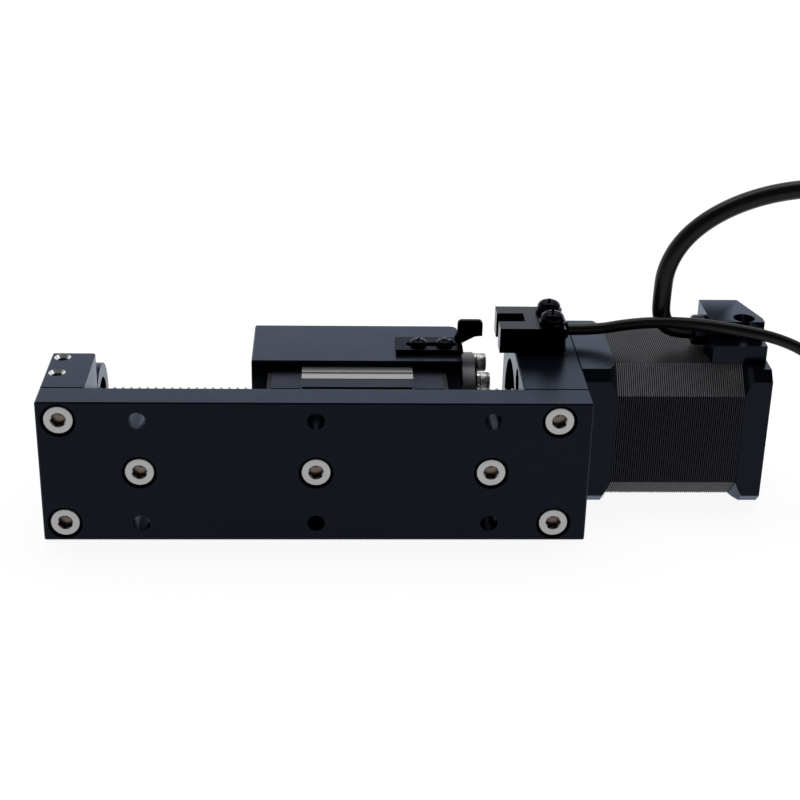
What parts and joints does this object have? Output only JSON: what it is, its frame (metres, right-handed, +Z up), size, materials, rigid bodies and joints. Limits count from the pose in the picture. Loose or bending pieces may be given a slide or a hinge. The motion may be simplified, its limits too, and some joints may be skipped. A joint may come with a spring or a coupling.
{
  "type": "ball screw linear actuator",
  "caption": "Motorised linear actuator: a ball screw drives a table along a profile rail on a flat base plate, with a limit sensor, a tripping flag and free cables.",
  "frame": {"origin": "middle of the footprint at floor level, with the base plate standing on its long edge as pictured, cables left out", "axes": "+X along the screw from the idle end to the motor, +Y from the mounting face to the table's face, +Z up"},
  "size_m": [0.3017, 0.0674, 0.0768],
  "materials": {
    "black_anodised": "satin black anodised",
    "motor_black": "satin black painted die casting",
    "lamination_black": "black painted laminations",
    "copper_wire": "enamelled copper",
    "bright_screw_steel": "bright stainless steel",
    "black_screw_steel": "black oxide, glossy",
    "rail_steel": "ground hardened steel",
    "nut_steel": "ground steel, matt",
    "bearing_steel": "polished bearing steel",
    "spring_steel": "dark spring steel",
    "rotor_iron": "laminated iron",
    "magnet": "sintered magnet",
    "end_cap_plastic": "moulded, matt",
    "seal_rubber": "matt",
    "flag_black": "black sheet steel",
    "sensor_plastic": "moulded, satin",
    "red_lens": "translucent red",
    "cable_jacket": "satin black jacket",
    "plug_plastic": "natural nylon"
  },
  "bodies": {
    "base": {"base_plate": "black_anodised", "support_screws": "bright_screw_steel", "rail_screws": "bright_screw_steel", "guide_rail": "rail_steel", "idle_support": "black_anodised", "idle_bearing_outer": "bearing_steel", "idle_bearing_balls": "bearing_steel", "motor_support": "black_anodised", "front_bearing_outer": "bearing_steel", "front_bearing_balls": "bearing_steel", "motor_screws": "bright_screw_steel", "motor_front_cap": "motor_black", "motor_stator": "lamination_black", "stator_windings": "copper_wire", "motor_rear_cap": "motor_black", "rear_bearing_outer": "bearing_steel", "rear_bearing_balls": "bearing_steel", "wave_spring": "spring_steel", "motor_through_bolts": "black_screw_steel", "cable_block": "sensor_plastic", "cable_block_screw": "black_screw_steel", "cable_gland": "sensor_plastic", "motor_cable": "cable_jacket", "motor_cable_coil": "cable_jacket", "motor_cable_plug": "plug_plastic", "limit_sensor": "sensor_plastic", "sensor_window": "red_lens", "sensor_screws": "black_screw_steel", "sensor_washers": "black_screw_steel", "sensor_cable": "cable_jacket", "sensor_cable_coil": "cable_jacket", "sensor_cable_plug": "plug_plastic"},
    "carriage": {"carriage_table": "black_anodised", "table_screws": "bright_screw_steel", "guide_block": "rail_steel", "guide_end_cap_left": "end_cap_plastic", "guide_end_cap_right": "end_cap_plastic", "guide_seal_left": "seal_rubber", "guide_seal_right": "seal_rubber", "ball_nut": "nut_steel", "nut_wiper_left": "seal_rubber", "nut_wiper_right": "seal_rubber", "nut_screws": "bright_screw_steel", "nut_washers": "bright_screw_steel", "sensor_flag": "flag_black", "flag_screws": "black_screw_steel"},
    "screw": {"ball_screw": "rail_steel", "idle_bearing_inner": "bearing_steel", "front_bearing_inner": "bearing_steel", "rear_bearing_inner": "bearing_steel", "bearing_lock_nut": "spring_steel", "idle_circlip": "spring_steel", "rotor_cup_front": "rotor_iron", "rotor_cup_rear": "rotor_iron", "rotor_magnet": "magnet"}
  },
  "joints": [
    {"name": "screw_spin", "type": "hinge", "parent": "base", "child": "screw", "pos_m": [-0.02255, 0.00825, 0.0175], "axis": [1, 0, 0], "range_deg": [-901, 6301]},
    {"name": "carriage_slide", "type": "slide", "parent": "base", "child": "carriage", "axis": [1, 0, 0], "range_m": [-0.035, 0.005]}
  ],
  "couplings": [
    {"joint": "screw_spin", "follows": "carriage_slide", "rad_per_m": -3141.6}
  ]
}
